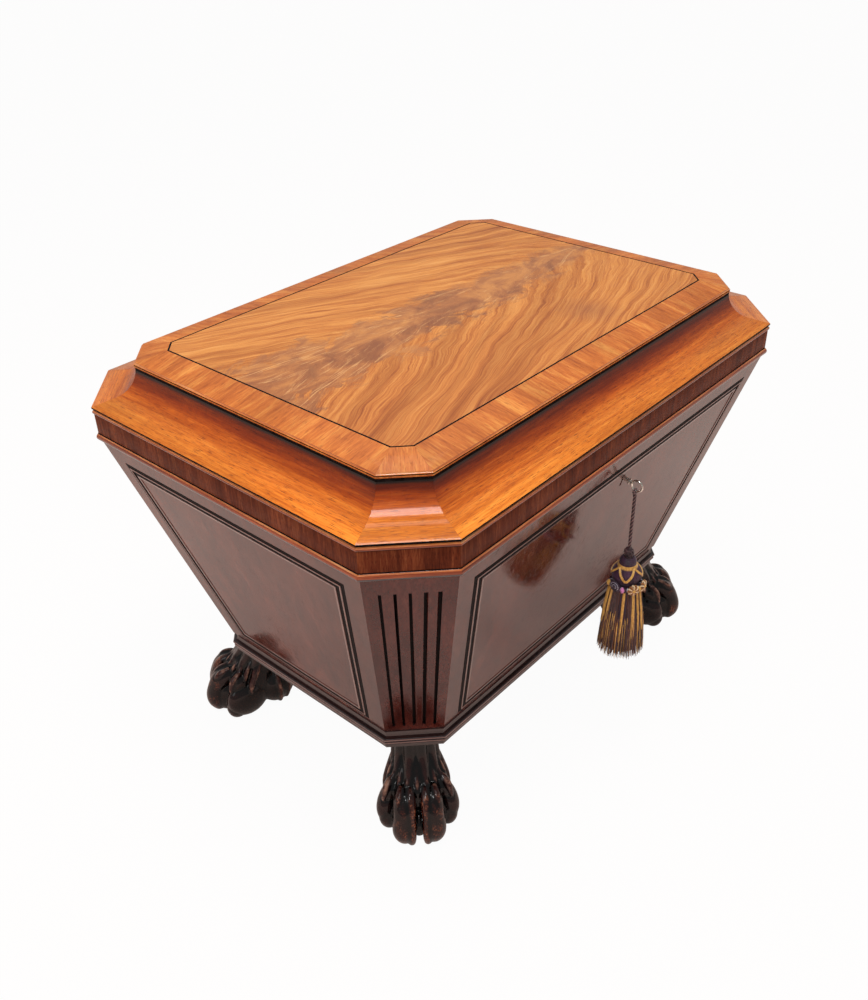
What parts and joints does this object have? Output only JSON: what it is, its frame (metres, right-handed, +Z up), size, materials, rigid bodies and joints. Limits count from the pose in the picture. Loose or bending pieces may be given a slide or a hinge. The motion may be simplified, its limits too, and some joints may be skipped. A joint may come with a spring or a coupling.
{
  "type": "cellarette",
  "caption": "Sarcophagus wine cooler with outward-leaning panelled sides, canted reeded corners, hinged coved lid, paw feet, lock, key and tassel.",
  "frame": {"origin": "on the floor, under the middle of the chest", "axes": "+X along the long front, +Y from the front (with the lock) to the back, +Z up"},
  "size_m": [0.7626, 0.5998, 0.5565],
  "materials": {
    "figured_mahogany": "french-polished flame-figured veneer",
    "crossband_mahogany": "french-polished crossbanding, grain square to the edge",
    "ebony": "polished, nearly black",
    "cavetto_mahogany": "french-polished solid mahogany with fine dark pores",
    "bead_mahogany": "polished dark red-brown",
    "frieze_mahogany": "polished cross-grained veneer",
    "polished_mahogany": "high gloss dark red-brown",
    "carved_mahogany": "near-black carved wood, rubbed to copper red on its high places",
    "inner_mahogany": "oiled, matt",
    "pine": "bare, aged",
    "zinc": "dull sheet metal",
    "brass": "aged",
    "steel": "bright, worn",
    "silk_cord": "twisted purple and silver silk",
    "silk_head": "woven silk with gold zigzags",
    "silk_rosette": "looped cream and gold silk",
    "silk_skirt": "gold, amber and purple silk strands"
  },
  "bodies": {
    "carcase": {"back_board": "polished_mahogany", "base_board": "pine", "corner_post_back_left": "polished_mahogany", "corner_post_back_right": "polished_mahogany", "corner_post_front_left": "polished_mahogany", "corner_post_front_right": "polished_mahogany", "divider_cross_1": "inner_mahogany", "divider_cross_2": "inner_mahogany", "divider_cross_3": "inner_mahogany", "divider_long": "inner_mahogany", "foot_dowels": "pine", "front_board": "polished_mahogany", "hinge_leaf_carcase_left": "brass", "hinge_leaf_carcase_right": "brass", "hinge_pin_left": "steel", "hinge_pin_right": "steel", "hinge_screws_carcase": "brass", "left_board": "polished_mahogany", "liner_floor": "zinc", "liner_walls": "zinc", "lock_cap_plate": "brass", "lock_case": "brass", "lock_drill_pin": "steel", "lock_screws": "brass", "lock_selvedge_plate": "brass", "panel_moulding_back": "polished_mahogany", "panel_moulding_front": "polished_mahogany", "panel_moulding_left": "polished_mahogany", "panel_moulding_right": "polished_mahogany", "paw_foot_back_left": "carved_mahogany", "paw_foot_back_right": "carved_mahogany", "paw_foot_front_left": "carved_mahogany", "paw_foot_front_right": "carved_mahogany", "plinth_moulding": "bead_mahogany", "right_board": "polished_mahogany", "rim_moulding": "bead_mahogany"},
    "lid": {"top_panel": "figured_mahogany", "top_crossbanding": "crossband_mahogany", "ebony_stringing": "ebony", "cavetto_moulding": "cavetto_mahogany", "lid_upper_bead": "bead_mahogany", "frieze_moulding": "frieze_mahogany", "lid_core_board": "pine", "lid_lining_board": "inner_mahogany", "hinge_leaf_lid_left": "brass", "hinge_leaf_lid_right": "brass", "hinge_screws_lid": "brass", "link_plate": "brass", "link_plate_screws": "brass"},
    "lock_bolt": {"lock_bolt": "steel"},
    "key": {"key": "steel"},
    "tassel_loop": {"tassel_loop": "silk_cord"},
    "tassel": {"tassel_cord": "silk_cord", "tassel_cap": "silk_cord", "tassel_head": "silk_head", "tassel_collar": "silk_cord", "tassel_rosettes": "silk_rosette", "tassel_skirt": "silk_skirt"}
  },
  "joints": [
    {"name": "lid_hinge", "type": "hinge", "parent": "carcase", "child": "lid", "pos_m": [0, 0.2855, 0.4738], "axis": [-1, 0, 0], "range_deg": [0, 95]},
    {"name": "key_turn", "type": "hinge", "parent": "carcase", "child": "key", "pos_m": [0, -0.26409, 0.4177], "axis": [0, -0.9633, -0.2685], "range_deg": [0, 90]},
    {"name": "bolt_throw", "type": "slide", "parent": "carcase", "child": "lock_bolt", "axis": [1, 0, 0], "range_m": [0, 0.008]},
    {"name": "loop_turn", "type": "hinge", "parent": "key", "child": "tassel_loop", "pos_m": [0, -0.28112, 0.40579], "axis": [0, -0.9633, -0.2685], "range_deg": [-90.01, 0]},
    {"name": "tassel_swing", "type": "hinge", "parent": "tassel_loop", "child": "tassel", "pos_m": [0, -0.28112, 0.40579], "axis": [-1, 0, 0], "range_deg": [-10, 60]}
  ],
  "couplings": [
    {"joint": "bolt_throw", "follows": "key_turn", "m_per_rad": 0.005093},
    {"joint": "loop_turn", "follows": "key_turn", "ratio": -1}
  ]
}
